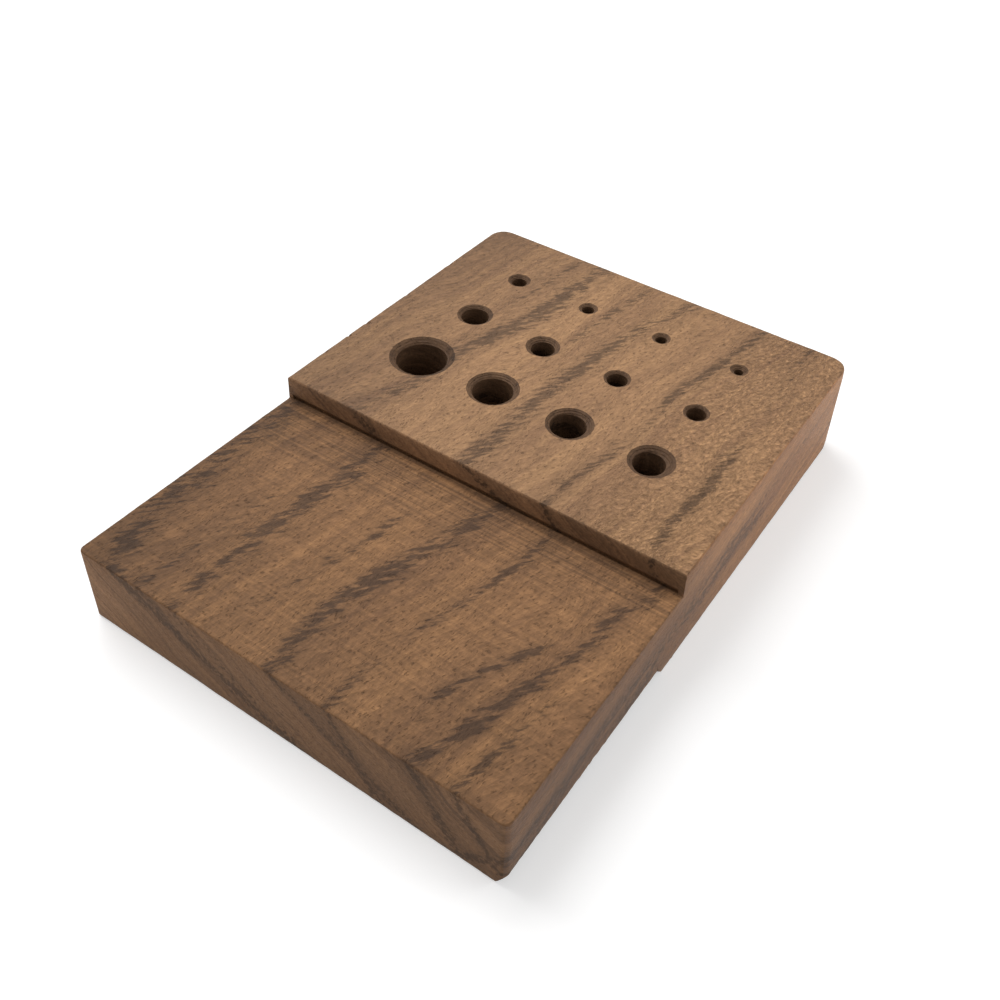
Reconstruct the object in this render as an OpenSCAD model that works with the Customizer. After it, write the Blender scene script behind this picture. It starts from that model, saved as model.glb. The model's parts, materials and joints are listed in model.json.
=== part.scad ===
// Stepped hardwood tool stand: one solid block with a low tray ledge in front
// and a raised rear part with twelve graded, countersunk blind holes.
// Frame: +X to the right, +Y to the rear, +Z up. The origin is under the middle
// of the block. The hole drawing is dimensioned from the front left corner.

/* [Block] */
// Width of the block from its left face to its right face
block_w = 100; // [90:0.5:200]
// Length of the block from its front face to its rear face
block_l = 140; // [128:0.5:260]
// Height of the raised rear part
block_h = 24; // [16:0.5:50]
// Height of the riser, from the ledge to the raised part
step_h = 5.5; // [3:0.5:10]
// Length of the front ledge, from the front face to the riser
ledge_l = 58; // [30:0.5:70]

/* [Sanded edges] */
// Radius of the two rear upright corners
rear_corner_r = 4.4; // [1:0.1:12]
// Radius of the two front upright corners
front_corner_r = 1.4; // [0.4:0.1:6]
// Radius of the long top edges of the raised part and of the ledge
top_edge_r = 1.1; // [0.3:0.1:3]
// Radius of the top edges across the grain, at the front, the riser and the rear
end_edge_r = 0.7; // [0.3:0.1:1.2]
// Radius of the edges round the underside
foot_edge_r = 0.5; // [0.2:0.1:1.5]

/* [Riser] */
// Height of the saw kerf along the foot of the riser, above the ledge
kerf_h = 1.1; // [0.4:0.1:1.5]
// Depth of the saw kerf into the riser
kerf_d = 0.6; // [0.2:0.1:2]
// How far the floor of the kerf lies below the ledge
kerf_drop = 0.2; // [0.1:0.05:0.5]

/* [Hole pattern] */
// Distance of the first column of holes from the left face
first_column = 18.8; // [10:0.1:28]
// Distance between holes along the front row
column_pitch = 19.9; // [16:0.1:24]
// How much that distance grows from each row to the one behind it
column_fan = 0.25; // [0:0.05:0.3]
// Distance of the front row of holes from the riser
first_row = 24; // [10:0.1:36]
// Distance between rows
row_pitch = 19.8; // [15:0.1:25]
// How far the left hole of the middle row was drilled behind its row
drill_wander = 0.9; // [-2:0.1:2]

/* [Hole depths] */
// Wood left under the drill points of the front row, from left to right
front_floors = [2.5, 3.5, 4, 4]; // [1.5:0.5:8]
// Wood left under the drill points of the middle row, from left to right
middle_floors = [4.5, 5, 5.5, 5.5]; // [1.5:0.5:8]
// Wood left under the drill points of the rear row, from left to right
rear_floors = [5.5, 5.5, 5.5, 5.5]; // [1.5:0.5:8]
// Included angle of the drill point that ends every hole
point_angle = 118; // [90:1:150]

/* [Hole sizes] */
// Bore diameters of the front row, from left to right
front_bores = [11.8, 9.3, 8.0, 7.2]; // [2:0.1:15]
// Bore diameters of the middle row, from left to right
middle_bores = [6.7, 5.7, 4.8, 4.5]; // [1.5:0.1:12]
// Bore diameters of the rear row, from left to right
rear_bores = [3.7, 3.1, 2.8, 2.2]; // [1:0.1:12]
// Countersink widths, from edge to bore, of the front row
front_sinks = [1.55, 1.25, 1.3, 1.5]; // [0.2:0.05:2]
// Countersink widths, from edge to bore, of the middle row
middle_sinks = [0.9, 1.15, 0.7, 0.65]; // [0.2:0.05:2]
// Countersink widths, from edge to bore, of the rear row
rear_sinks = [0.95, 0.75, 0.8, 1.0]; // [0.2:0.05:2]
// How far the countersinks of the front row sit to the right of their bores
front_sink_drift = [0, 0.1, 0.3, 0.4]; // [-0.6:0.1:0.6]
// Included angle of the countersinks
sink_angle = 108; // [80:1:130]

/* [Split edge] */
// Length of the splinter lost from the lower right edge, from the front face
splinter_l = 54; // [0.5:0.5:120]
// Height of the lost splinter on the right face
splinter_h = 3.2; // [0.5:0.1:5]
// Width of the lost splinter across the underside
splinter_w = 2.4; // [0.5:0.1:5]
// Lean of the torn end of the splinter, forwards from the underside up
splinter_lean = 40; // [0:1:60]

/* [Hidden] */
$fn = 64;
slack = 1;

ledge_h = block_h - step_h;
bores = [front_bores, middle_bores, rear_bores];
floors = [front_floors, middle_floors, rear_floors];
sinks = [front_sinks, middle_sinks, rear_sinks];
sink_drift = [front_sink_drift, [0, 0, 0, 0], [0, 0, 0, 0]];
walnut = [0.50, 0.37, 0.27];

// Centre of a hole, measured from the front left corner of the block
function hole_at(row, column) = [
    first_column + column * (column_pitch + row * column_fan),
    ledge_l + first_row + row * row_pitch + (row == 1 && column == 0 ? drill_wander : 0)
];

// What a round corner of radius r removes from a square one at the origin,
// where the solid lies towards +X and +Y
module corner_waste(r) {
    difference() {
        translate([-slack, -slack]) square(r + slack);
        translate([r, r]) circle(r);
    }
}

// Rectangle with its own radius at each corner:
// [low left, low right, high right, high left]
module eased_rectangle(w, h, radii) {
    difference() {
        square([w, h]);
        corner_waste(radii[0]);
        translate([w, 0]) mirror([1, 0]) corner_waste(radii[1]);
        translate([w, h]) rotate(180) corner_waste(radii[2]);
        translate([0, h]) mirror([0, 1]) corner_waste(radii[3]);
    }
}

// Bar along Y with its four long edges eased
module eased_bar(y, length, height) {
    translate([0, y + length, 0])
        rotate([90, 0, 0])
            linear_extrude(length)
                eased_rectangle(block_w, height, [foot_edge_r, foot_edge_r, top_edge_r, top_edge_r]);
}

// Plan outline of the block
module plan_prism() {
    linear_extrude(block_h)
        eased_rectangle(block_w, block_l, [front_corner_r, front_corner_r, rear_corner_r, rear_corner_r]);
}

// Side outline, drawn with the front face at the left and with the step,
// the kerf at the foot of the riser and the eased cross edges
module side_prism() {
    rotate([90, 0, 90])
        linear_extrude(block_w)
            difference() {
                union() {
                    eased_rectangle(block_l, ledge_h, [foot_edge_r, foot_edge_r, end_edge_r, end_edge_r]);
                    translate([ledge_l, 0])
                        eased_rectangle(block_l - ledge_l, block_h, [0, foot_edge_r, end_edge_r, end_edge_r]);
                }
                translate([ledge_l, ledge_h - kerf_drop]) square([kerf_d, kerf_drop + kerf_h]);
            }
}

// The planed and sawn blank, before drilling
module blank() {
    intersection() {
        plan_prism();
        side_prism();
        union() {
            eased_bar(0, block_l, ledge_h);
            eased_bar(ledge_l, block_l - ledge_l, block_h);
        }
    }
}

// One blind hole with its drill point and its countersink, mouth at z = 0 and
// point at z = floor_h - block_h
module drilled_hole(bore_d, floor_h, sink_w, drift) {
    point_h = bore_d / 2 / tan(point_angle / 2);
    bore_depth = block_h - floor_h - point_h;
    sink_h = sink_w / tan(sink_angle / 2);
    over = slack / tan(90 - sink_angle / 2);
    translate([0, 0, -bore_depth]) cylinder(d = bore_d, h = bore_depth + slack);
    translate([0, 0, -bore_depth - point_h]) cylinder(d1 = 0, d2 = bore_d, h = point_h);
    translate([drift, 0, -sink_h])
        cylinder(d1 = bore_d, d2 = bore_d + 2 * (sink_w + over), h = sink_h + slack);
}

// The graded holes, largest at the front left and smallest at the rear right
module hole_pattern() {
    for (row = [0:len(bores) - 1], column = [0:len(bores[row]) - 1])
        translate([each hole_at(row, column), block_h])
            drilled_hole(bores[row][column], floors[row][column], sinks[row][column], sink_drift[row][column]);
}

// Splinter torn along the grain off the lower right edge. Its rear end leans
// forwards, so the break is longest along the underside.
module splinter() {
    difference() {
        translate([block_w, splinter_l, 0])
            rotate([90, 0, 0])
                linear_extrude(splinter_l + slack)
                    polygon([
                        [slack, -slack],
                        [slack, splinter_h],
                        [0, splinter_h],
                        [-splinter_w, 0],
                        [-splinter_w, -slack]
                    ]);
        translate([block_w - splinter_w - slack, splinter_l, 0])
            rotate([splinter_lean, 0, 0])
                cube([splinter_w + 3 * slack, splinter_h, 2 * splinter_h]);
    }
}

module tool_block() {
    color(walnut)
        translate([-block_w / 2, -block_l / 2, 0])
            difference() {
                blank();
                hole_pattern();
                splinter();
            }
}

tool_block();
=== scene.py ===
"""Looks of a stepped hardwood tool stand: one sawn, drilled, sanded and oiled block.

Lengths in the classes are millimetres in the row frame: +X to the right, +Y to the
rear, +Z up, with the origin under the middle of the block. The wood's figure is laid
out from the block's front left corner, as a maker would mark out a board.
"""

import json
import logging
import math
from collections.abc import Callable, Sequence
from dataclasses import dataclass, field
from enum import Enum

import bmesh
import bpy
from mathutils import Matrix, Vector


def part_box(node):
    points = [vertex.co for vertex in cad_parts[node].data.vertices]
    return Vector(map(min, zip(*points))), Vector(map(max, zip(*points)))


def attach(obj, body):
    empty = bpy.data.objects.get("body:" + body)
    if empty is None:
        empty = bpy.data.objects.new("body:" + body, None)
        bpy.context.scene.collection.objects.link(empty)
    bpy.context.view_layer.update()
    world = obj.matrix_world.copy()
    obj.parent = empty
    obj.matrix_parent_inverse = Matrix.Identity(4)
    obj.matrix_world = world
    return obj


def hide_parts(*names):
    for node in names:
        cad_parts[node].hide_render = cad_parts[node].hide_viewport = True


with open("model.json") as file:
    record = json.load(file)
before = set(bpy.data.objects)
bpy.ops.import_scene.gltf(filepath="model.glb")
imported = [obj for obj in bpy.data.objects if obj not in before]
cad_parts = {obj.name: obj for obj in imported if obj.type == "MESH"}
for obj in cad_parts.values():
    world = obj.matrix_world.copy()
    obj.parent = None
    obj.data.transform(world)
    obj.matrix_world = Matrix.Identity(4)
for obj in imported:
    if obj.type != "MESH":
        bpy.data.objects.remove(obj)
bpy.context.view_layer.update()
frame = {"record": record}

MM = 0.001
# Places this close are the same, and places this close lie on the same face, in millimetres
SAME = 0.01
NEAR = 0.1
# Least cosine of an edge or a face that runs along or looks along an axis
ALONG = 0.9
FACING = 0.6
# Settings of a Map Range node that eases in and out, and of a Mix node for colours
SMOOTH = {"interpolation_type": "SMOOTHSTEP"}
COLOURS = {"out": 2, "data_type": "RGBA"}
# Included angle of the countersinks
SINK_ANGLE = 108.0
NODE = "tool_block"

log = logging.getLogger("tool stand")


class Element(Enum):
    """What is picked in edit mode."""

    EDGE = "EDGE"
    FACE = "FACE"


class Surface(Enum):
    """The ways in which the surfaces of the block were made."""

    SANDED = 0
    MILLED = 1
    END_GRAIN = 2
    PLANED = 3
    CROSS_CUT = 4


# ---- small helpers


def metres(*lengths: float) -> tuple[float, ...]:
    """Turns millimetres into Blender's metres."""
    return tuple(length * MM for length in lengths)


def linear(colour: str) -> tuple[float, float, float, float]:
    """Turns an sRGB hex colour into Blender's linear colour.

    Args:
        colour: Six hex digits after a hash sign.

    Returns:
        Linear red, green, blue and an alpha of 1.
    """
    parts = [int(colour[i : i + 2], 16) / 255 for i in (1, 3, 5)]
    red, green, blue = (c / 12.92 if c <= 0.04045 else ((c + 0.055) / 1.055) ** 2.4 for c in parts)
    return red, green, blue, 1.0


def only(piece: bpy.types.Object) -> None:
    """Leaves one object selected and active."""
    bpy.ops.object.select_all(action="DESELECT")
    piece.select_set(True)
    bpy.context.view_layer.objects.active = piece


def fresh(name: str) -> bpy.types.Object:
    """Names the primitive that was just added and fixes its place in its mesh."""
    piece = bpy.context.object
    piece.name = piece.data.name = name
    bpy.ops.object.transform_apply(location=True, rotation=True, scale=True)
    return piece


def pick(
    piece: bpy.types.Object, element: Element, wanted: Callable[[Vector, Vector], bool]
) -> None:
    """Selects the edges or faces that pass a test, in edit mode.

    Args:
        piece: The object in edit mode.
        element: Edges or faces.
        wanted: Takes the middle in millimetres and the edge's line or the face's normal.
    """
    bpy.ops.mesh.select_mode(type=element.value)
    bpy.ops.mesh.select_all(action="DESELECT")
    shape = bmesh.from_edit_mesh(piece.data)
    for item in shape.edges if element is Element.EDGE else shape.faces:
        if element is Element.EDGE:
            ends = [corner.co for corner in item.verts]
            middle, line = (ends[0] + ends[1]) / 2, (ends[1] - ends[0]).normalized()
        else:
            middle, line = item.calc_center_median(), item.normal
        if wanted(middle / MM, line):
            item.select_set(True)
    bmesh.update_edit_mesh(piece.data)


def bisect(point: Sequence[float], normal: Sequence[float], clear: bool = False) -> None:
    """Cuts the mesh in edit mode by a plane.

    Args:
        point: A point of the plane, in millimetres.
        normal: The plane's normal.
        clear: Whether the side that the normal points to is cut off and closed.
    """
    bpy.ops.mesh.select_all(action="SELECT")
    bpy.ops.mesh.bisect(
        plane_co=metres(*point), plane_no=normal, clear_outer=clear, use_fill=clear, threshold=1e-7
    )


def extrude(x: float, y: float, z: float) -> None:
    """Extrudes what is selected in edit mode and moves it by millimetres."""
    bpy.ops.mesh.extrude_region_move(TRANSFORM_OT_translate={"value": metres(x, y, z)})


def roughen(
    piece: bpy.types.Object, lump: float, depth: float, group: str = "", middle: float = 1.0
) -> None:
    """Wears a surface with even noise by a Displace modifier, which is applied.

    Args:
        piece: The object to wear.
        lump: Size of the lumps, in millimetres.
        depth: Greatest change of the surface, in millimetres.
        group: Vertex group that limits the wear.
        middle: Noise level that moves nothing; 1 only takes material away.
    """
    noise = bpy.data.textures.new(f"wear {lump:g}", type="CLOUDS")
    noise.noise_scale, noise.noise_depth = lump * MM, 2
    only(piece)
    bpy.ops.object.modifier_add(type="DISPLACE")
    wear = piece.modifiers[-1]
    wear.texture, wear.texture_coords = noise, "LOCAL"
    wear.strength, wear.mid_level, wear.vertex_group = depth * MM, middle, group
    bpy.ops.object.modifier_apply(modifier=wear.name)


def carve(piece: bpy.types.Object, cutter: bpy.types.Object, *finishes: bpy.types.Material) -> None:
    """Cuts a solid out of a piece, gives the cut its finish and removes the cutter.

    Args:
        piece: The object that is cut.
        cutter: The closed solid that is taken away.
        *finishes: Materials of the new surface, for the cutter's material slots.
    """
    for slot, finish in enumerate(finishes):
        if slot == len(cutter.data.materials):
            cutter.data.materials.append(finish)
        cutter.data.materials[slot] = finish
    only(piece)
    bpy.ops.object.modifier_add(type="BOOLEAN")
    cut = piece.modifiers[-1]
    cut.operation, cut.object = "DIFFERENCE", cutter
    cut.solver, cut.material_mode = "EXACT", "TRANSFER"
    bpy.ops.object.modifier_apply(modifier=cut.name)
    bpy.data.objects.remove(cutter, do_unlink=True)


def joined(pieces: Sequence[bpy.types.Object]) -> bpy.types.Object:
    """Joins several objects into the first."""
    only(pieces[0])
    for piece in pieces[1:]:
        piece.select_set(True)
    bpy.ops.object.join()
    return pieces[0]


def add(
    tree: bpy.types.NodeTree,
    kind: str,
    inputs: dict[str | int, object] | None = None,
    out: str | int = 0,
    **settings: object,
) -> bpy.types.NodeSocket | None:
    """Adds one node with its settings and links.

    Args:
        tree: The node tree it goes into.
        kind: The node's type, without the ShaderNode in front.
        inputs: For each input, a plain value or the output socket it is linked to.
        out: Which output is given back.
        **settings: Properties of the node.

    Returns:
        The output of the new node, or None for one that has none.
    """
    made = tree.nodes.new(f"ShaderNode{kind}")
    for name, value in settings.items():
        setattr(made, name, value)
    for socket, value in (inputs or {}).items():
        if isinstance(value, bpy.types.NodeSocket):
            tree.links.new(value, made.inputs[socket])
        else:
            made.inputs[socket].default_value = value
    return made.outputs[out] if made.outputs else None


def grain(
    tree: bpy.types.NodeTree,
    place: bpy.types.NodeSocket,
    fineness: Sequence[float],
    detail: float,
    roughness: float = 0.5,
) -> bpy.types.NodeSocket:
    """Lays a noise that is stretched along the wood's grain.

    Args:
        tree: The node tree it goes into.
        place: The place in millimetres.
        fineness: Lumps per millimetre across, along and up.
        detail: How many finer layers the noise has.
        roughness: How strong the finer layers are.

    Returns:
        The noise, about 0.3 to 0.7.
    """
    at = add(tree, "Mapping", {"Vector": place, "Scale": fineness})
    layers = {"Vector": at, "Scale": 1.0, "Detail": detail, "Roughness": roughness}
    return add(tree, "TexNoise", layers)


def bend(
    curve: bpy.types.NodeSocket, points: Sequence[tuple[float, float]], reach: float, top: float
) -> None:
    """Runs a Float Curve node through points.

    Args:
        curve: The node's output.
        points: Pairs of place and height, in rising order of place.
        reach: The place that stands at the curve's right end.
        top: The height that stands at the curve's top.
    """
    line = curve.node.mapping.curves[0]
    places = [(place / reach, height / top) for place, height in points]
    line.points[0].location, line.points[1].location = places[0], places[-1]
    for place in places[1:-1]:
        line.points.new(*place)
    curve.node.mapping.update()


# ---- the wood's figure


@dataclass(frozen=True)
class Streak:
    """A dark growth band of the board, as a sheet that leans as it rises.

    Attributes:
        path: (y, x) of the sheet at the ledge's height, from the front left corner.
        lean: How far the sheet moves to the right for each millimetre it rises.
        core: Half width of the dark middle.
        haze: Half width of the grey-brown halo.
        strength: (y, darkness from 0 to 1) along the board.
    """

    path: tuple[tuple[float, float], ...]
    lean: float
    core: float
    haze: float
    strength: tuple[tuple[float, float], ...]


@dataclass(frozen=True)
class WalnutBoard:
    """The board the block was sawn from: its growth bands, rings and pores.

    Attributes:
        ledge_z: Height at which the bands are laid out.
        corner: The front left corner, to the left of and before the middle.
        reach: Length of the board.
        clear_wood: How far clear wood is from a dark fleck.
        ring_span: Noise levels of the palest and the darkest ring.
        streaks: The dark growth bands, from left to right.
    """

    ledge_z: float
    corner: tuple[float, float] = (50.0, 70.0)
    reach: float = 140.0
    clear_wood: float = -1.8
    ring_span: tuple[float, float] = (0.36, 0.64)
    streaks: tuple[Streak, ...] = (
        Streak(
            ((0, 10), (8, 6), (24, 3), (57, 3), (140, 8)),
            -2.4, 4.0, 9.0,
            ((0, 0.95), (10, 0.8), (30, 0.8), (50, 0.65), (57, 0.5), (70, 0.2), (140, 0.25)),
        ),
        Streak(
            ((0, 24.5), (12, 25), (28, 25.5), (44, 27), (57, 27.5), (74, 32.5), (92, 35),
             (106, 39), (118, 40.5), (140, 42.5)),
            -1.7, 2.4, 7.0,
            ((0, 0.6), (12, 0.75), (28, 1), (50, 0.95), (62, 0.7), (80, 0.7), (96, 1),
             (112, 0.95), (140, 0.75)),
        ),
        Streak(
            ((0, 17), (12, 17), (24, 18), (40, 20), (60, 26), (90, 30), (112, 33), (140, 36.5)),
            -1.7, 0.8, 8.0,
            ((0, 0.75), (10, 0.6), (22, 0.6), (34, 0.25), (60, 0), (96, 0.1), (112, 0.45),
             (128, 0.65), (140, 0.65)),
        ),
        Streak(
            ((0, 34.5), (10, 37), (27, 41), (42, 44), (57, 47), (90, 51), (118, 53.8), (140, 57)),
            -1.7, 1.3, 4.0,
            ((0, 0.35), (20, 0.5), (34, 0.65), (48, 0.4), (60, 0.15), (100, 0.35), (118, 0.6),
             (132, 0.65), (140, 0.5)),
        ),
        Streak(
            ((0, 49), (18, 49), (28, 51), (38, 53.5), (50, 56.5), (58, 58.2), (74, 58.8),
             (88, 59), (104, 61), (121, 64), (140, 70)),
            -1.8, 2.3, 6.0,
            ((0, 0.75), (10, 0.9), (22, 1), (40, 0.85), (56, 0.8), (66, 0.95), (80, 0.8),
             (108, 0.95), (124, 0.6), (140, 0.6)),
        ),
        Streak(
            ((0, 62.5), (16, 63.8), (26, 66), (34, 68), (45, 70.2), (58, 71), (66, 71.5),
             (80, 74.3), (91, 76), (102, 75.8), (114, 77.5), (123, 79.3), (140, 81.5)),
            -0.6, 1.3, 4.2,
            ((0, 0.8), (14, 0.6), (30, 0.7), (41, 1), (56, 0.8), (72, 0.8), (88, 0.6),
             (108, 0.95), (124, 0.9), (140, 0.6)),
        ),
        Streak(
            ((0, 74.5), (12, 76), (22, 79.5), (32, 84), (58, 90), (140, 96)),
            -0.6, 1.2, 3.5,
            ((0, 0.2), (10, 0.45), (22, 0.9), (33, 0.6), (40, 0.1), (50, 0), (140, 0)),
        ),
        Streak(
            ((0, 80), (10, 84), (20, 86.5), (29, 89), (37, 91), (48, 92.5), (54, 95), (68, 94),
             (80, 95.3), (92, 95.3), (140, 93.5)),
            -0.6, 1.6, 4.5,
            ((0, 0.9), (14, 1), (30, 0.8), (45, 0.9), (56, 0.6), (64, 0.8), (84, 0.95),
             (96, 0.6), (108, 0.35), (126, 0.5), (140, 0.5)),
        ),
        Streak(
            ((0, 89.5), (10, 91), (19, 92.5), (40, 97), (140, 110)),
            -0.6, 1.2, 3.0,
            ((0, 0.85), (12, 0.8), (20, 0.5), (30, 0.1), (40, 0), (140, 0)),
        ),
        Streak(
            ((0, 116), (6, 115.7), (56, 111.2), (76, 108.2), (126, 102.2), (140, 101)),
            1.5, 2.2, 7.0,
            ((0, 0.9), (30, 0.9), (60, 0.7), (80, 1), (100, 0.5), (140, 0.5)),
        ),
    )

    def figure(self) -> bpy.types.NodeTree:
        """Makes the node group that gives the board's figure to every finish.

        Returns:
            A group that gives Place and Grain in millimetres, Ring, Haze, Streak, Pores, Fleck.
        """
        group = bpy.data.node_groups.new("walnut figure", "ShaderNodeTree")
        for name in ("Ring", "Haze", "Streak", "Pores", "Fleck"):
            group.interface.new_socket(name, in_out="OUTPUT", socket_type="NodeSocketFloat")
        for name in ("Place", "Grain"):
            group.interface.new_socket(name, in_out="OUTPUT", socket_type="NodeSocketVector")
        here = add(group, "TexCoord", out="Object")
        laid = {"Vector": here, "Location": (*self.corner, 0), "Scale": (1 / MM,) * 3}
        place = add(group, "Mapping", laid)
        x, y, z = add(group, "SeparateXYZ", {0: place}).node.outputs
        rise = add(group, "Math", {0: z, 1: self.ledge_z}, operation="SUBTRACT")
        along = add(group, "Math", {0: y, 1: self.reach}, operation="DIVIDE")

        # The board's slow wander, and the short slanting flecks that make a band ragged
        wander = grain(group, place, (0.07, 0.025, 0.07), 2.0)
        lean = add(group, "Math", {0: y, 1: -0.7, 2: x}, operation="MULTIPLY_ADD")
        sheared = add(group, "CombineXYZ", {0: lean, 1: y, 2: z})
        fleck = grain(group, sheared, (1.0, 0.3, 1.0), 4.0, 0.62)
        patch = grain(group, place, (0.16, 0.09, 0.16), 3.0)

        # Every growth band, each a leaning sheet with a dark core and a halo
        haze = core = 0.0
        for streak in self.streaks:
            path = add(group, "FloatCurve", {"Value": along})
            bend(path, streak.path, self.reach, self.reach)
            level = add(group, "FloatCurve", {"Value": along})
            bend(level, streak.strength, self.reach, 1.0)
            leant = add(group, "Math", {0: rise, 1: -streak.lean, 2: x}, operation="MULTIPLY_ADD")
            off = add(group, "Math", {0: path, 1: -self.reach, 2: leant}, operation="MULTIPLY_ADD")
            off = add(group, "Math", {0: wander, 1: 2.0, 2: off}, operation="MULTIPLY_ADD")
            off = add(group, "Math", {0: off, 1: 1.0}, operation="SUBTRACT")
            off = add(group, "Math", {0: off}, operation="ABSOLUTE")
            parts = []
            for so_far, reach in ((haze, streak.haze), (core, 1.6 * streak.core)):
                part = add(group, "MapRange", {"Value": off, 1: reach, 2: 0.0}, **SMOOTH)
                part = add(group, "Math", {0: part, 1: level}, operation="MULTIPLY")
                parts.append(add(group, "Math", {0: so_far, 1: part}, operation="MAXIMUM"))
            haze, core = parts
        # Flecks crowd together where a band is dark and thin out in its halo
        near = self.clear_wood
        for part, pull in ((haze, 0.45), (core, 0.55), (patch, 0.8), (fleck, 2.8)):
            near = add(group, "Math", {0: part, 1: pull, 2: near}, operation="MULTIPLY_ADD")
        core = add(group, "MapRange", {"Value": near, 1: 0.5, 2: 0.95}, **SMOOTH)

        # Growth rings run with the bands: 1 to 3 mm apart, stretched along the board
        ring = x
        for part, pull in ((y, -0.14), (rise, 1.4), (wander, 9.0), (fleck, 1.6)):
            ring = add(group, "Math", {0: part, 1: pull, 2: ring}, operation="MULTIPLY_ADD")
        ring_on = add(group, "CombineXYZ", {0: ring, 1: y, 2: z})
        low, high = self.ring_span
        rings = grain(group, ring_on, (0.55, 0.02, 0.04), 5.0, 0.68)
        rings = add(group, "MapRange", {"Value": rings, 1: low, 2: high})
        broad = grain(group, ring_on, (0.15, 0.008, 0.02), 2.0)
        broad = add(group, "MapRange", {"Value": broad, 1: low, 2: high})
        rings = add(group, "Mix", {0: 0.4, 2: rings, 3: broad}, data_type="FLOAT")

        # Open pores: slits about 0.25 mm wide and 1.5 to 3 mm long, dots on the end grain
        pore_at = add(group, "Mapping", {"Vector": ring_on, "Scale": (2.2, 0.6, 2.2)})
        pores = add(group, "TexVoronoi", {"Vector": pore_at, "Scale": 1.0, "Randomness": 1.0})
        pores = add(group, "MapRange", {"Value": pores, 1: 0.3, 2: 0.12}, **SMOOTH)

        end = group.nodes.new("NodeGroupOutput")
        found = {
            "Place": place, "Grain": ring_on, "Ring": rings, "Haze": haze,
            "Streak": core, "Pores": pores, "Fleck": fleck,
        }
        for name, socket in found.items():
            group.links.new(socket, end.inputs[name])
        return group


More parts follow.
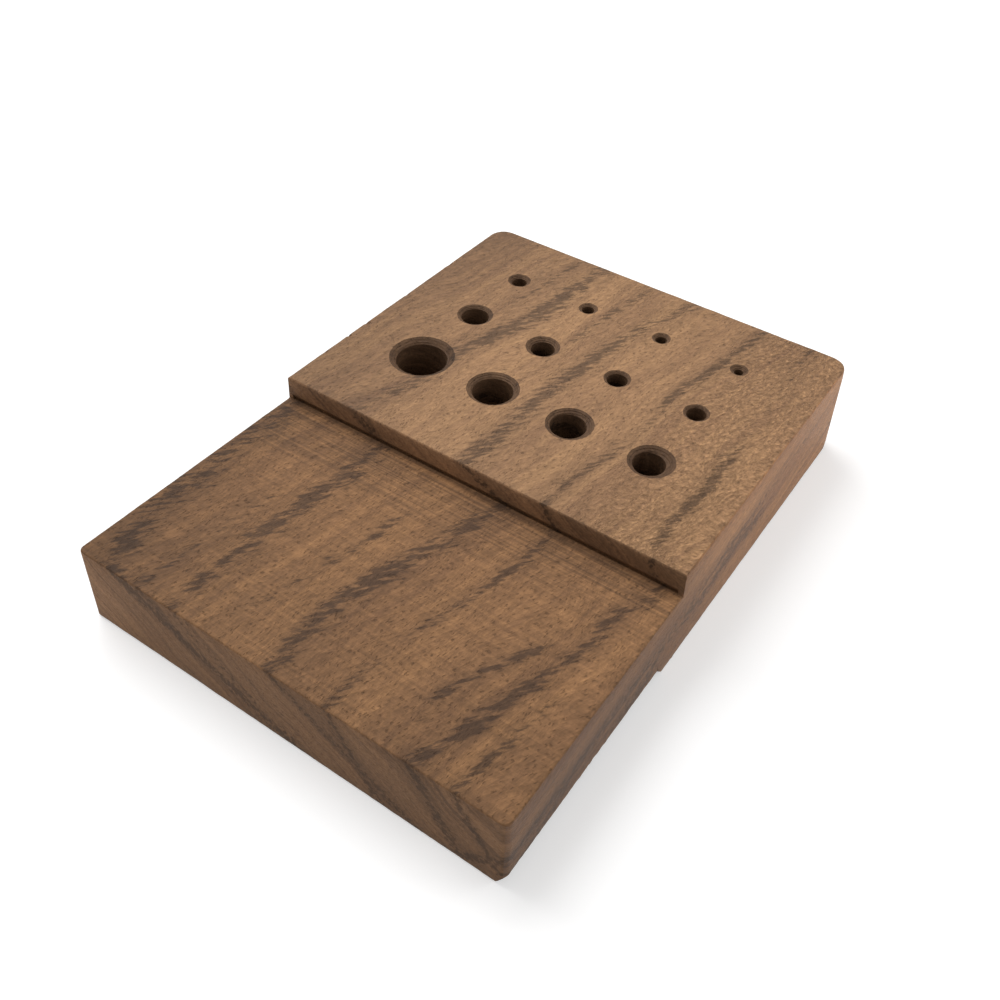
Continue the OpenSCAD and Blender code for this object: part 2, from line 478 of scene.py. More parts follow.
@dataclass(frozen=True)
class WalnutFinish:
    """One way the walnut was worked, which sets its tone, its relief and its sheen; some finishes
    also carry painted light or shade.

    Attributes:
        name: The finish's common name.
        pale: Colour of the palest early wood.
        middle: Colour of the rings.
        band: Colour of the growth bands.
        pore: Colour inside the open pores.
        rings: Share of the ring tone, 0 to 1.
        bands: Share of the dark flecks in the growth bands, 0 to 1.
        pores: Share of the pores, 0 to 1.
        mill: Depth of the cutter's lines, 0 for none.
        pitted: Strength of the pitted grain along the right edge, with partly painted glints, 0 for
            none.
        roughness: Roughness of the oiled surface.
        gloss: Strength of the oil's shine, 0.5 for a full coat.
        sheen: Soft shine of the raised fibres at a low angle, 0 to 1.
        relief: Height of the bump, in millimetres.
        along: (y, tone) of a slow change of tone along the length, painted light on the planed
            sides.
        across: (x, tone) of the same from left to right, painted shade on the planed sides and the
            riser.
        reach: Where the two curves of tone end.
        brightest: The most that such a curve may give.
        halo: Share of the soft tone round the growth bands, 0 to 1.
    """

    name: str
    pale: str
    middle: str
    band: str
    pore: str
    rings: float = 0.9
    bands: float = 0.75
    pores: float = 0.4
    mill: float = 0.0
    pitted: float = 0.0
    roughness: float = 0.58
    gloss: float = 0.18
    sheen: float = 0.0
    relief: float = 0.14
    along: tuple[tuple[float, float], ...] = ((0, 1.0), (140, 1.0))
    across: tuple[tuple[float, float], ...] = ((0, 1.0), (140, 1.0))
    reach: float = 140.0
    brightest: float = 2.4
    halo: float = 0.3

    def material(self, figure: bpy.types.NodeTree) -> bpy.types.Material:
        """Builds the finish on the board's figure.

        Args:
            figure: The node group of the board.

        Returns:
            The material.
        """
        made = bpy.data.materials.new(self.name)
        made.use_nodes = True
        tree = made.node_tree
        tree.nodes.clear()
        wood = add(tree, "Group", node_tree=figure).node.outputs
        x, y, _ = add(tree, "SeparateXYZ", {0: wood["Place"]}).node.outputs
        tone = linear(self.pale)
        for part, most, colour in (
            ("Ring", self.rings, self.middle),
            ("Haze", self.halo, self.band),
            ("Streak", self.bands, self.band),
            ("Pores", self.pores, self.pore),
        ):
            share = add(tree, "Math", {0: wood[part], 1: most}, operation="MULTIPLY")
            tone = add(tree, "Mix", {0: share, 6: tone, 7: linear(colour)}, **COLOURS)
        height = add(tree, "Math", {0: wood["Pores"], 1: -1.0, 2: 1.0}, operation="MULTIPLY_ADD")
        if self.mill:
            # Lines of the router cutter: 0.3 to 1 mm apart, 40 mm long, deepest and darkest near
            # the riser, where they also paint the shade at its foot
            lines = grain(tree, wood["Place"], (0.03, 1.7, 1.0), 3.0)
            lines = add(tree, "MapRange", {"Value": lines, 1: 0.35, 2: 0.65})
            # Painted shade in part: the lines darken towards the riser's foot
            near = add(tree, "MapRange", {"Value": y, 1: 38.0, 2: 54.0, 3: 0.4}, **SMOOTH)
            lines = add(tree, "Math", {0: lines, 1: near}, operation="MULTIPLY")
            share = add(tree, "Math", {0: lines, 1: self.mill}, operation="MULTIPLY")
            tone = add(tree, "Mix", {0: share, 6: tone, 7: linear(self.band)}, **COLOURS)
            height = add(tree, "Math", {0: lines, 1: -0.6, 2: height}, operation="MULTIPLY_ADD")
        # Fibres: about 0.3 mm wide and 2 mm long
        fine = grain(tree, wood["Grain"], (2.6, 0.5, 2.6), 4.0, 0.7)
        height = add(tree, "Math", {0: fine, 1: 1.2, 2: height}, operation="MULTIPLY_ADD")
        speck = add(tree, "MapRange", {"Value": fine, 1: 0.3, 2: 0.7, 3: 0.72, 4: 1.28})
        mottle = add(tree, "MapRange", {"Value": wood["Fleck"], 1: 0.3, 2: 0.7, 3: 1.16, 4: 0.84})
        level = add(tree, "Math", {0: speck, 1: mottle}, operation="MULTIPLY")
        if self.pitted:
            # Pitted grain where the fibres turn round a knot: lumps 0.6 to 1.5 mm across; the pale
            # specks are partly painted glints
            pits = grain(tree, wood["Grain"], (1.25, 0.8, 1.25), 4.0, 0.7)
            # Pale and dark specks: pitted grain, with painted glints in the pale ones
            span = {"Value": pits, 1: 0.36, 2: 0.6, 3: -self.pitted, 4: self.pitted}
            pits = add(tree, "MapRange", span)
            side = add(tree, "MapRange", {"Value": x, 1: 68.0, 2: 84.0}, **SMOOTH)
            pits = add(tree, "Math", {0: pits, 1: side}, operation="MULTIPLY")
            level = add(tree, "Math", {0: level, 1: pits, 2: level}, operation="MULTIPLY_ADD")
            height = add(tree, "Math", {0: pits, 1: 5.0, 2: height}, operation="MULTIPLY_ADD")
        for place, points in ((y, self.along), (x, self.across)):
            share = add(tree, "Math", {0: place, 1: self.reach}, operation="DIVIDE")
            curve = add(tree, "FloatCurve", {"Value": share})
            bend(curve, points, self.reach, self.brightest)
            part = add(tree, "Math", {0: curve, 1: self.brightest}, operation="MULTIPLY")
            level = add(tree, "Math", {0: level, 1: part}, operation="MULTIPLY")
        tone = add(tree, "Mix", {0: 1.0, 6: tone, 7: level}, blend_type="MULTIPLY", **COLOURS)
        bump = add(tree, "Bump", {"Height": height, "Distance": self.relief * MM, "Strength": 0.8})
        shader = add(
            tree,
            "BsdfPrincipled",
            {
                "Base Color": tone,
                "Roughness": self.roughness,
                "IOR": 1.45,
                "Specular IOR Level": self.gloss,
                "Normal": bump,
                "Sheen Weight": self.sheen,
                "Sheen Roughness": 0.35,
                "Sheen Tint": linear("#f4e6d8"),
            },
        )
        add(tree, "OutputMaterial", {"Surface": shader})
        return made


# Sanded to a soft satin and wiped with oil: warm mid brown, open pores still show
SANDED = WalnutFinish(
    "sanded oiled walnut", "#af8761", "#85644b", "#4b392c", "#4a372a",
    bands=0.64, pores=0.34, pitted=0.24,
    along=((0, 0.9), (62, 0.92), (76, 0.95), (92, 0.99), (112, 0.97), (140, 0.86)),
    across=(
        (0, 0.72), (8, 0.77), (16, 0.88), (24, 0.97), (34, 1.02), (72, 1.01), (88, 1.11),
        (140, 1.11),
    ),
)
# Planed along the edge of the board: straight close grain, with painted light that grows towards
# the rear
PLANED = WalnutFinish(
    "planed oiled walnut", "#9c7049", "#704c34", "#443224", "#402d1d",
    bands=0.5, roughness=0.5, gloss=0.25, sheen=0.06,
    # Painted light: the sides grow paler towards the rear, standing in for the light they catch
    # there
    along=((0, 0.68), (30, 0.74), (55, 0.92), (80, 1.45), (105, 1.55), (140, 1.95)),
    # Painted shade: the left side is held darker, which takes back the painted light where the key
    # lamp lights it
    across=((0, 0.54), (50, 0.65), (96, 1.0), (140, 1.0)),
)
# Left as the cutter made it, then oiled: a shade darker, with fine lines across the grain
MILLED = WalnutFinish(
    "milled oiled walnut", "#a17751", "#77573e", "#433329", "#413024",
    bands=0.7, mill=0.6, roughness=0.64,
    along=((0, 0.82), (10, 0.87), (26, 0.95), (44, 1.03), (58, 1.03), (140, 1.0)),
    across=((0, 0.74), (5, 0.8), (10, 0.92), (20, 0.99), (32, 1.02), (140, 1.0)),
)
# Sawn across the fibres: drinks more oil, so it is darker and has dots for pores
END_GRAIN = WalnutFinish(
    "end grain walnut", "#987252", "#634a37", "#423124", "#382820", bands=0.6, roughness=0.66,
    along=((0, 1.0), (20, 1.0), (58, 1.02), (80, 1.05), (140, 1.05)),
    across=(
        (0, 1.36), (8, 1.3), (18, 1.1), (30, 1.05), (50, 1.02), (75, 0.98), (90, 0.95), (140, 0.95)
    ),
)
# Sawn across the fibres beside the ledge: as the end grain, with painted shade that darkens the
# riser towards its right end
CROSS_CUT = WalnutFinish(
    "cross-cut walnut", "#987252", "#634a37", "#423124", "#382820", bands=0.75, roughness=0.66,
    # Painted shade: the riser falls darker towards its right end, away from the key lamp
    across=(
        (0, 1.15), (10, 1.0), (30, 1.06), (50, 1.14), (64, 1.04), (78, 0.84), (90, 0.76),
        (140, 0.76),
    ),
)
# Countersunk by hand through end and long grain in turn: darker than the top, partly from the end
# grain and partly painted shade in the sunk cones
COUNTERSUNK = WalnutFinish(
    "countersunk walnut", "#6e533c", "#4a3526", "#2c2018", "#281c14", pores=0.3, roughness=0.6
)
# Bored walls: a dark brown that is painted shade deep inside the holes
DRILLED = WalnutFinish(
    "drilled walnut", "#442f22", "#30221a", "#201612", "#1c130e", pores=0.3, roughness=0.7
)
# Sawn with a fine blade that ran hot: dark brown in the narrow slot
SAWN = WalnutFinish(
    "sawn walnut", "#755336", "#583c27", "#35251a", "#2d1e17", pores=0.3, roughness=0.8
)
# Knocked off the edge: short raw fibres, a shade darker than the sanded face
CHIPPED = WalnutFinish("chipped walnut", "#7d5c42", "#5c4330", "#33241a", "#2a1e16", roughness=0.75)
# Torn along the grain: raw fibres, no oil, rough and darker than the sanded face
TORN = WalnutFinish(
    "torn walnut", "#634834", "#473123", "#2c1f17", "#281c13", roughness=0.8, relief=0.3
)


# ---- the block


@dataclass(frozen=True)
class Drill:
    """One countersunk blind hole.

    Attributes:
        x, y: Its middle.
        radius: Half its width.
        bottom: Where its straight wall ends and the drill point begins.
        sink_z: Where the countersink begins.
        sink: Width of the countersink.
        drift: How far the countersink stands to the right.
        steps: Corners of its outline.
        point_angle: Angle of the drill point.
        chatter: Places of the rings the countersink bit left, as shares of its depth.
        chatter_depth: How far they stand in and out.
        over: How far the cutter stands above the surface.
    """

    x: float
    y: float
    radius: float
    bottom: float
    sink_z: float
    sink: float
    drift: float = 0.0
    steps: int = 96
    point_angle: float = 118.0
    chatter: tuple[float, ...] = (0.18, 0.36, 0.54, 0.72, 0.88)
    chatter_depth: float = 0.07
    over: float = 1.0

    def cutter(self, top: float) -> bpy.types.Object:
        """Models the drill and the countersink as one solid.

        Args:
            top: Height of the surface that is drilled.

        Returns:
            The solid to be cut out.
        """
        depth = top - self.sink_z
        slope = self.sink / depth
        bpy.ops.object.select_all(action="DESELECT")
        bpy.ops.mesh.primitive_circle_add(
            vertices=self.steps,
            radius=self.radius * MM,
            fill_type="NGON",
            location=metres(self.x, self.y, self.sink_z),
        )
        piece = fresh("drill")
        bpy.ops.object.mode_set(mode="EDIT")
        bpy.ops.mesh.select_all(action="SELECT")
        now = self.radius
        levels = [self.sink_z + depth * share for share in self.chatter] + [top + self.over]
        for number, (low, high) in enumerate(zip([self.sink_z] + levels, levels)):
            extrude(self.drift if number == 0 else 0.0, 0, high - low)
            ring = self.chatter_depth * (-1) ** number if high < top else 0.0
            wide = self.radius + slope * (high - self.sink_z) + ring
            centre = metres(self.x + self.drift, self.y, high)
            bpy.ops.transform.resize(value=(wide / now, wide / now, 1), center_override=centre)
            now = wide
        pick(piece, Element.FACE, lambda middle, normal: abs(middle.z - self.sink_z) < SAME)
        extrude(0, 0, self.bottom - self.sink_z)
        point = self.radius / math.tan(math.radians(self.point_angle / 2))
        extrude(0, 0, -point)
        bpy.ops.mesh.merge(type="CENTER")
        bpy.ops.mesh.select_all(action="SELECT")
        bpy.ops.mesh.normals_make_consistent(inside=False)
        for _ in range(2):
            piece.data.materials.append(None)
        # Slot 1, the bore below the countersink, takes the finish with painted shade
        pick(piece, Element.FACE, lambda middle, normal: middle.z < self.sink_z - SAME)
        piece.active_material_index = 1
        bpy.ops.object.material_slot_assign()
        bpy.ops.object.mode_set(mode="OBJECT")
        return piece


@dataclass(frozen=True)
class Chip:
    """A small bite out of an edge."""

    x: float
    y: float
    z: float
    size: tuple[float, float, float]


@dataclass
class ToolBlock:
    """The block: a low ledge in front and a raised rear part with graded holes.

    Attributes:
        low, high: Corners of its box.
        riser_y, ledge_z: Place of the riser and height of the ledge.
        drills: Its holes.
        rear_corner, front_corner: Rounds of the upright corners.
        top_edge, foot_edge: Rounds of the edges above and below.
        kerf_above, kerf_below: How far the saw kerf stands above and below the ledge.
        kerf_depth, kerf_stop: Its depth, and how far from the sides it stops.
        kerf_wear, kerf_lump, kerf_cuts: Depth and size of its lumps, and cuts along it.
        cell, levels: Size of the mesh's cells, and the heights at which they are cut.
        wear_reach, wear_depth, wear_lumps: Width, depth and lumps of the worn rims.
        riser_foot: Height of the riser's foot, which isn't worn.
        sink_lump, sink_wear: Size and depth of the lumps in the holes.
        splinter_end, splinter_lean: Where the lost splinter ends, and how its end leans.
        splinter_h, splinter_w: Its height and width.
        splinter_wear, splinter_lump: Depth and size of the lumps of the torn face.
        splinter_cell, splinter_cuts: Length of its cells, and cuts in each.
        chips: Bites out of its edges.
        smooth_below: Greatest angle between faces that are shaded as one, in degrees.
        finishes: The materials of its surfaces.
    """

    low: Vector
    high: Vector
    riser_y: float
    ledge_z: float
    drills: list[Drill]
    rear_corner: float = 4.4
    front_corner: float = 1.4
    top_edge: float = 0.45
    foot_edge: float = 0.4
    kerf_above: float = 1.1
    kerf_below: float = 0.2
    kerf_depth: float = 0.6
    kerf_stop: float = 1.2
    kerf_wear: float = 0.05
    kerf_lump: float = 1.6
    kerf_cuts: int = 120
    cell: float = 2.5
    levels: tuple[float, ...] = (2.5, 6.0, 9.5, 13.0, 16.0, 21.5)
    wear_reach: float = 2.2
    wear_depth: float = 0.09
    wear_lumps: tuple[float, ...] = (7.0, 1.4)
    riser_foot: float = 2.0
    sink_lump: float = 1.1
    sink_wear: float = 0.16
    splinter_end: float = -16.0
    splinter_h: float = 3.2
    splinter_w: float = 2.4
    splinter_lean: float = 40.0
    splinter_wear: float = 0.5
    splinter_lump: float = 1.5
    splinter_cell: float = 2.0
    splinter_cuts: int = 7
    chips: tuple[Chip, ...] = (
        Chip(-50.1, 47.2, 24.0, (1.1, 1.3, 0.5)),
        Chip(-50.1, 33.0, 24.0, (0.8, 0.7, 0.4)),
        Chip(-50.1, 29.8, 24.0, (1.2, 1.4, 0.6)),
        Chip(-50.1, 14.6, 24.0, (1.6, 1.2, 0.6)),
        Chip(-50.1, 8.2, 24.0, (1.3, 0.9, 0.7)),
        Chip(-50.1, 0.2, 24.0, (1.1, 1.1, 0.45)),
        Chip(50.3, 55.0, 24.2, (1.0, 1.1, 0.6)),
        Chip(50.4, 51.6, 24.2, (1.0, 1.3, 0.6)),
        Chip(50.3, 48.0, 24.2, (0.9, 0.7, 0.6)),
        Chip(-12.0, 70.2, 24.1, (0.9, 0.6, 0.4)),
        Chip(39.0, 70.2, 24.1, (1.6, 0.7, 0.4)),
    )
    smooth_below: float = 28.0
    finishes: dict[Surface, bpy.types.Material] = field(default_factory=dict)

    def build(self, board: WalnutBoard) -> bpy.types.Object:
        """Models and dresses the whole block.

        Args:
            board: The board it is sawn from.

        Returns:
            The finished block.
        """
        figure = board.figure()
        ways = (SANDED, MILLED, END_GRAIN, PLANED, CROSS_CUT)
        self.finishes = {surface: way.material(figure) for surface, way in zip(Surface, ways)}
        # Both hole finishes carry painted shade in their colour
        countersunk, drilled = COUNTERSUNK.material(figure), DRILLED.material(figure)
        piece = self.blank()
        self.lay_cells(piece)
        self.wear_edges(piece)
        self.dress(piece)
        log.info("blank: %d faces", len(piece.data.polygons))
        carve(piece, self.kerf(), SAWN.material(figure))
        carve(piece, self.splinter(), TORN.material(figure))
        carve(piece, self.bites(), CHIPPED.material(figure))
        cutters = joined([drill.cutter(self.high.z) for drill in self.drills])
        roughen(cutters, self.sink_lump, self.sink_wear, middle=0.5)
        carve(piece, cutters, countersunk, drilled)
        log.info("holes: %d drilled", len(self.drills))
        self.close(piece)
        bpy.ops.object.shade_smooth_by_angle(angle=math.radians(self.smooth_below))
        return piece

    def blank(self) -> bpy.types.Object:
        """Models the stepped blank with its eased corners and edges."""
        size = self.high - self.low
        bpy.ops.object.select_all(action="DESELECT")
        bpy.ops.mesh.primitive_cube_add(size=1, location=metres(0, 0, self.ledge_z / 2))
        bpy.context.object.scale = metres(size.x, size.y, self.ledge_z)
        piece = fresh("tool_block_body")
        bpy.ops.object.mode_set(mode="EDIT")
        bisect((0, self.riser_y, 0), (0, 1, 0))
        pick(piece, Element.FACE, lambda at, normal: normal.z > ALONG and at.y > self.riser_y)
        extrude(0, 0, size.z - self.ledge_z)
        half = size.y / 2 - NEAR
        for side, radius, segments in ((1, self.rear_corner, 10), (-1, self.front_corner, 5)):
            pick(piece, Element.EDGE, lambda at, line: abs(line.z) > ALONG and side * at.y > half)
            bpy.ops.mesh.bevel(offset=radius * MM, segments=segments, profile=0.5, affect="EDGES")
        for height, radius, segments in (
            (self.high.z, self.top_edge, 4),
            (self.ledge_z, self.top_edge, 4),
            (self.low.z, self.foot_edge, 2),
        ):
            pick(piece, Element.EDGE, lambda middle, line: self.outer(middle, height))
            bpy.ops.mesh.bevel(offset=radius * MM, segments=segments, profile=0.5, affect="EDGES")
        bpy.ops.object.mode_set(mode="OBJECT")
        return piece

    def outer(self, middle: Vector, height: float) -> bool:
        """Tells whether an edge is in the outer rim of one of the three levels.

        Args:
            middle: The edge's middle.
            height: The level: the top's, the ledge's or the underside's.

        Returns:
            True if it is.
        """
        if abs(middle.z - height) >= SAME:
            return False
        if height == self.high.z:
            return True
        if height == self.low.z:
            return abs(middle.y - self.riser_y) > NEAR or abs(middle.x) > self.high.x - NEAR
        return middle.y < self.riser_y - NEAR

    def top_at(self, y: float) -> float:
        """Gives the height of the surface above a place along the block."""
        return self.high.z if y > self.riser_y - NEAR else self.ledge_z

    def lay_cells(self, piece: bpy.types.Object) -> None:
        """Cuts the blank into cells, small ones along the edges that get worn.

        Args:
            piece: The blank.
        """
        only(piece)
        bpy.ops.object.mode_set(mode="EDIT")
        lengths = (self.high.x, self.riser_y - self.low.y, self.high.y - self.riser_y)
        beside, before, behind = (round(length / self.cell) for length in lengths)
        for k in range(1 - beside, beside):
            bisect((k * self.cell, 0, 0), (1, 0, 0))
        for k in range(1 - before, behind):
            if k:
                bisect((0, self.riser_y + k * self.cell, 0), (0, 1, 0))
        for z in self.levels:
            bisect((0, 0, z), (0, 0, 1))
        cuts = 3
        for axis in (1, 0, 2):
            pick(piece, Element.EDGE, lambda middle, line: self.near_rim(middle, line, axis))
            bpy.ops.mesh.subdivide(number_cuts=cuts, ngon=True)
        bpy.ops.object.mode_set(mode="OBJECT")

    def near_rim(self, middle: Vector, line: Vector, axis: int) -> bool:
        """Tells whether an edge runs along an axis beside a rim that does so too.

        Args:
            middle: The edge's middle.
            line: Which way it runs.
            axis: 0, 1 or 2.

        Returns:
            True if it does.
        """
        if abs(line[axis]) <= 0.99:
            return False
        band = self.cell + NEAR
        side = self.high.x - abs(middle.x) < band
        end = middle.y - self.low.y < band or self.high.y - middle.y < band
        end_or_riser = end or 0 <= middle.y - self.riser_y + SAME < band
        level = self.top_at(middle.y) - middle.z < band or middle.z < band
        if axis == 1:
            return side and level
        if axis == 0:
            return end_or_riser and level
        return side and end

    def wear_edges(self, piece: bpy.types.Object) -> None:
        """Wears the rims unevenly, as hand sanding does, and never outwards.

        Args:
            piece: The blank.
        """
        worn = piece.vertex_groups.new(name="worn")
        for corner in piece.data.vertices:
            at = corner.co / MM
            riser = abs(at.y - self.riser_y)
            ends = min(at.y - self.low.y, self.high.y - at.y)
            if at.z > self.ledge_z + 0.5:
                ends = min(ends, riser)
            height = min(self.top_at(at.y) - at.z, at.z)
            gap = sorted((self.high.x - abs(at.x), ends, height))[1]
            share = max(0.0, 1.0 - gap / self.wear_reach)
            if share > 0 and not (riser < NEAR and at.z < self.ledge_z + self.riser_foot):
                worn.add([corner.index], share, "REPLACE")
        for lump in self.wear_lumps:
            roughen(piece, lump, self.wear_depth, "worn")

    def dress(self, piece: bpy.types.Object) -> None:
        """Gives each surface of the blank its finish.

        Args:
            piece: The blank.
        """
        for surface in Surface:
            piece.data.materials.append(self.finishes[surface])
        only(piece)
        bpy.ops.object.mode_set(mode="EDIT")
        foot, edge, rim = self.riser_y, self.riser_y - 0.05, self.ledge_z - 1.0
        tests = {
            Surface.END_GRAIN: lambda at, normal: abs(normal.y) > FACING,
            Surface.CROSS_CUT: lambda at, normal: normal.y < -FACING and abs(at.y - foot) < 1.0,
            Surface.PLANED: lambda at, normal: abs(normal.x) > FACING,
            Surface.MILLED: lambda at, normal: normal.z > 0.5 and at.y < edge and at.z > rim,
        }
        for surface, test in tests.items():
            pick(piece, Element.FACE, test)
            piece.active_material_index = surface.value
            bpy.ops.object.material_slot_assign()
        bpy.ops.object.mode_set(mode="OBJECT")

    def close(self, piece: bpy.types.Object) -> None:
        """Merges stray points and closes the slits that the cuts leave.

        Args:
            piece: The cut block.
        """
        only(piece)
        bpy.ops.object.mode_set(mode="EDIT")
        bpy.ops.mesh.select_mode(type=Element.EDGE.value)
        bpy.ops.mesh.select_all(action="SELECT")
        bpy.ops.mesh.remove_doubles(threshold=1e-6)
        bpy.ops.mesh.select_all(action="DESELECT")
        bpy.ops.mesh.select_non_manifold(
            extend=False, use_wire=False, use_boundary=True,
            use_multi_face=False, use_non_contiguous=False, use_verts=False,
        )
        bpy.ops.mesh.fill_holes(sides=0)
        piece.active_material_index = Surface.PLANED.value
        bpy.ops.object.material_slot_assign()
        bpy.ops.object.mode_set(mode="OBJECT")

    def kerf(self) -> bpy.types.Object:
        """Models the saw kerf along the foot of the riser as a thin uneven wedge."""
        low, high = self.ledge_z - self.kerf_below, self.ledge_z + self.kerf_above
        wear, depth = self.kerf_wear, self.kerf_depth
        bpy.ops.object.select_all(action="DESELECT")
        middle = metres(0, self.riser_y + (depth - wear) / 2, (low + high) / 2)
        bpy.ops.mesh.primitive_cube_add(size=1, location=middle)
        length = 2 * (self.high.x - self.kerf_stop)
        bpy.context.object.scale = metres(length, depth + wear, high - low)
        piece = fresh("kerf")
        bpy.ops.object.mode_set(mode="EDIT")
        pick(
            piece,
            Element.EDGE,
            lambda at, line: abs(line.x) > ALONG and at.y > self.riser_y and at.z > self.ledge_z,
        )
        bpy.ops.transform.translate(value=metres(0, wear - depth, 0))
        pick(piece, Element.EDGE, lambda at, line: abs(line.x) > ALONG)
        bpy.ops.mesh.subdivide(number_cuts=self.kerf_cuts)
        bpy.ops.object.mode_set(mode="OBJECT")
        roughen(piece, self.kerf_lump, wear)
        return piece

    def splinter(self) -> bpy.types.Object:
        """Models the splinter that was torn off the lower right edge."""
        length = self.splinter_end - self.low.y + 2
        bpy.ops.object.select_all(action="DESELECT")
        middle = metres(self.high.x, self.splinter_end - length / 2, 1.0)
        bpy.ops.mesh.primitive_cube_add(size=1, location=middle)
        bpy.context.object.scale = metres(8, length, 6)
        piece = fresh("splinter")
        slant = Vector((-self.splinter_h, 0, self.splinter_w))
        lean = math.radians(self.splinter_lean)
        bpy.ops.object.mode_set(mode="EDIT")
        bisect((self.high.x - self.splinter_w, 0, 0), slant.normalized(), clear=True)
        bisect((0, self.splinter_end, 0), (0, math.cos(lean), math.sin(lean)), clear=True)
        for k in range(1, 1 + math.ceil(length / self.splinter_cell)):
            bisect((0, self.splinter_end - k * self.splinter_cell, 0), (0, 1, 0))
        pick(piece, Element.FACE, lambda middle, normal: normal.x < -0.3)
        bpy.ops.mesh.subdivide(number_cuts=self.splinter_cuts)
        bpy.ops.object.mode_set(mode="OBJECT")
        roughen(piece, self.splinter_lump, self.splinter_wear, middle=0.6)
        return piece

    def bites(self) -> bpy.types.Object:
        """Models the small chips that were knocked off the edges."""
        bpy.ops.object.select_all(action="DESELECT")
        bpy.ops.mesh.primitive_ico_sphere_add(subdivisions=3, radius=1)
        pattern = fresh("chip")
        # The pattern has a radius of a metre, and each bite is a small copy of it
        roughen(pattern, 700.0, 300.0)
        made = []
        for chip in self.chips:
            only(pattern)
            bpy.ops.object.duplicate()
            copy = bpy.context.object
            copy.location, copy.scale = metres(chip.x, chip.y, chip.z), metres(*chip.size)
            bpy.ops.object.transform_apply(location=True, rotation=True, scale=True)
            made.append(copy)
        bpy.data.objects.remove(pattern, do_unlink=True)
        return joined(made)


# ---- the studio


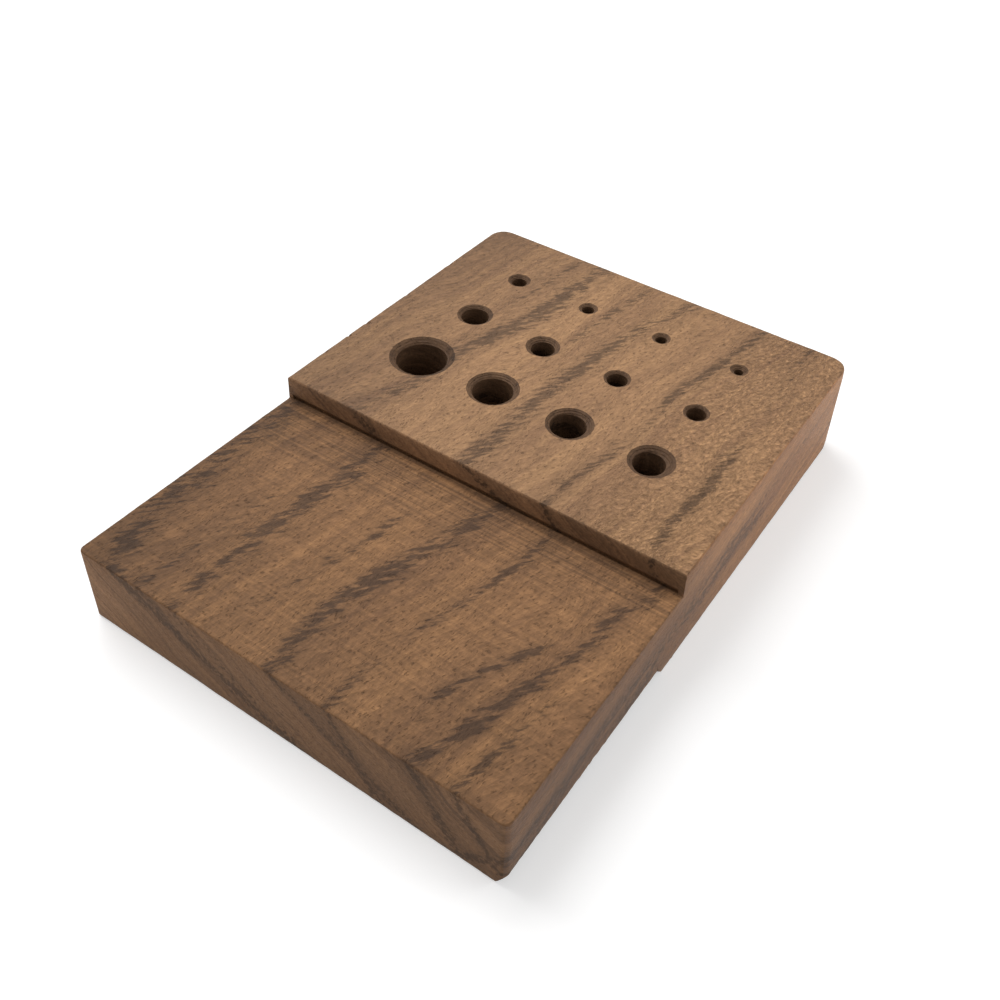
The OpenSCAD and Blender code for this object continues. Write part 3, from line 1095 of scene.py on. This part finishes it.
@dataclass(frozen=True)
class Studio:
    """A pale floor, soft light and the camera."""

    ambient: float = 0.4
    key_power: float = 14.0
    key_size: float = 1.0
    key_at: tuple[float, float, float] = (-0.70, 0.20, 1.10)
    fill_power: float = 0.6
    fill_size: float = 0.3
    fill_at: tuple[float, float, float] = (0.42, 0.30, 0.22)
    floor_size: float = 4.0
    floor_gap: float = 0.0001
    floor_tone: float = 0.7
    floor_lift: float = 0.48
    lens: float = 40.77
    azimuth: float = 31.41
    elevation: float = 38.99
    roll: float = 3.47
    camera_at: tuple[float, float, float] = (99.74, -150.01, 180.23)
    shift: tuple[float, float] = (-0.0388, -0.0999)

    def build(self) -> None:
        """Sets up the floor, the light and the camera."""
        self.floor()
        self.light()
        self.camera()

    def floor(self) -> None:
        """Lays the floor, which reads as white and keeps the block's shadow."""
        bpy.ops.object.select_all(action="DESELECT")
        bpy.ops.mesh.primitive_plane_add(size=self.floor_size, location=(0, 0, -self.floor_gap))
        piece = fresh("studio_floor")
        paper = bpy.data.materials.new("matt white paper")
        paper.use_nodes = True
        tree = paper.node_tree
        tree.nodes.clear()
        tone = (self.floor_tone,) * 3 + (1.0,)
        matt = add(tree, "BsdfDiffuse", {"Color": tone})
        seen = self.seen(tree)
        here = add(tree, "TexCoord", out="Object")
        far = add(tree, "VectorMath", {0: here}, out="Value", operation="LENGTH")
        rise = add(tree, "MapRange", {"Value": far, 1: 0.25, 2: 1.0, 3: self.floor_lift, 4: 1.0})
        lift = add(tree, "Math", {0: seen, 1: rise}, operation="MULTIPLY")
        glow = add(tree, "Emission", {"Color": (1, 1, 1, 1), "Strength": lift})
        both = add(tree, "AddShader", {0: matt, 1: glow})
        add(tree, "OutputMaterial", {"Surface": both})
        piece.data.materials.append(paper)

    def light(self) -> None:
        """Lights the room evenly, with a large lamp on the left and a small one behind."""
        world = bpy.data.worlds.new("studio")
        bpy.context.scene.world = world
        world.use_nodes = True
        tree = world.node_tree
        tree.nodes.clear()
        level = add(tree, "MapRange", {"Value": self.seen(tree), 3: self.ambient, 4: 1.0})
        room = add(tree, "Background", {"Color": (1, 1, 1, 1), "Strength": level})
        add(tree, "OutputWorld", {"Surface": room})
        self.lamp("soft key", self.key_at, self.key_power, self.key_size)
        self.lamp("soft fill", self.fill_at, self.fill_power, self.fill_size)

    def seen(self, tree: bpy.types.NodeTree) -> bpy.types.NodeSocket:
        """Marks the rays that show the background: straight, mirrored or through glass.

        Args:
            tree: The node tree it goes into.

        Returns:
            1 for such a ray, 0 for a ray that only carries light.
        """
        path = add(tree, "LightPath").node.outputs
        seen = path["Is Camera Ray"]
        for other in ("Is Glossy Ray", "Is Transmission Ray"):
            seen = add(tree, "Math", {0: seen, 1: path[other]}, operation="MAXIMUM")
        return seen

    def lamp(self, name: str, at: tuple[float, float, float], power: float, size: float) -> None:
        """Hangs one square lamp that looks at the block.

        Args:
            name: The lamp's name.
            at: Its place.
            power: Its power in watts.
            size: Its side.
        """
        bpy.ops.object.light_add(type="AREA", location=at)
        lamp = bpy.context.object
        lamp.name = name
        lamp.data.energy, lamp.data.size = power, size
        lamp.rotation_euler = Vector(at).to_track_quat("Z", "Y").to_euler()

    def camera(self) -> None:
        """Places the camera."""
        bpy.ops.object.camera_add()
        camera = bpy.context.object
        turn = (
            Matrix.Rotation(math.radians(self.azimuth), 4, "Z")
            @ Matrix.Rotation(math.radians(90 - self.elevation), 4, "X")
            @ Matrix.Rotation(math.radians(self.roll), 4, "Z")
        )
        camera.matrix_world = Matrix.Translation(metres(*self.camera_at)) @ turn
        camera.data.lens, camera.data.sensor_width = self.lens, 36.0
        camera.data.shift_x, camera.data.shift_y = self.shift
        camera.data.clip_start = 0.01
        bpy.context.scene.camera = camera


def drills_of(mounts: list[dict], top: float) -> list[Drill]:
    """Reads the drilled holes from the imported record.

    Args:
        mounts: The record's mounts.
        top: Height of the drilled surface, in millimetres.

    Returns:
        One drill for each bore.
    """
    drifts = {"front_hole_1": 0.1, "front_hole_2": 0.1, "front_hole_3": 0.3, "front_hole_4": 0.5}
    found = []
    for mount in mounts:
        if mount["kind"] != "bore":
            continue
        x, y, z = (value / MM for value in mount["pos_m"])
        half = mount["dims"]["length_mm"] / 2
        sink = (top - z - half) * math.tan(math.radians(SINK_ANGLE / 2))
        drift = drifts.get(mount["name"], 0.0)
        found.append(Drill(x, y, mount["dims"]["r_mm"], z - half, z + half, sink, drift))
    return found


def main() -> None:
    """Builds the block and the studio, and reports each piece."""
    logging.basicConfig(level=logging.INFO, format="%(message)s")
    bpy.context.scene.view_settings.view_transform = "Standard"
    low, high = (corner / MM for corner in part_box(NODE))
    mounts = frame["record"]["mounts"]
    ledge = next(mount for mount in mounts if mount["name"] == "ledge")["pos_m"]
    block = ToolBlock(
        low=low,
        high=high,
        riser_y=2 * ledge[1] / MM - low.y,
        ledge_z=ledge[2] / MM,
        drills=drills_of(mounts, high.z),
    )
    piece = block.build(WalnutBoard(ledge_z=block.ledge_z))
    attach(piece, "root")
    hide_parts(NODE)
    log.info("tool block: %d faces", len(piece.data.polygons))
    Studio().build()
    log.info("studio: floor, two lamps and camera")


if __name__ == "__main__":
    main()
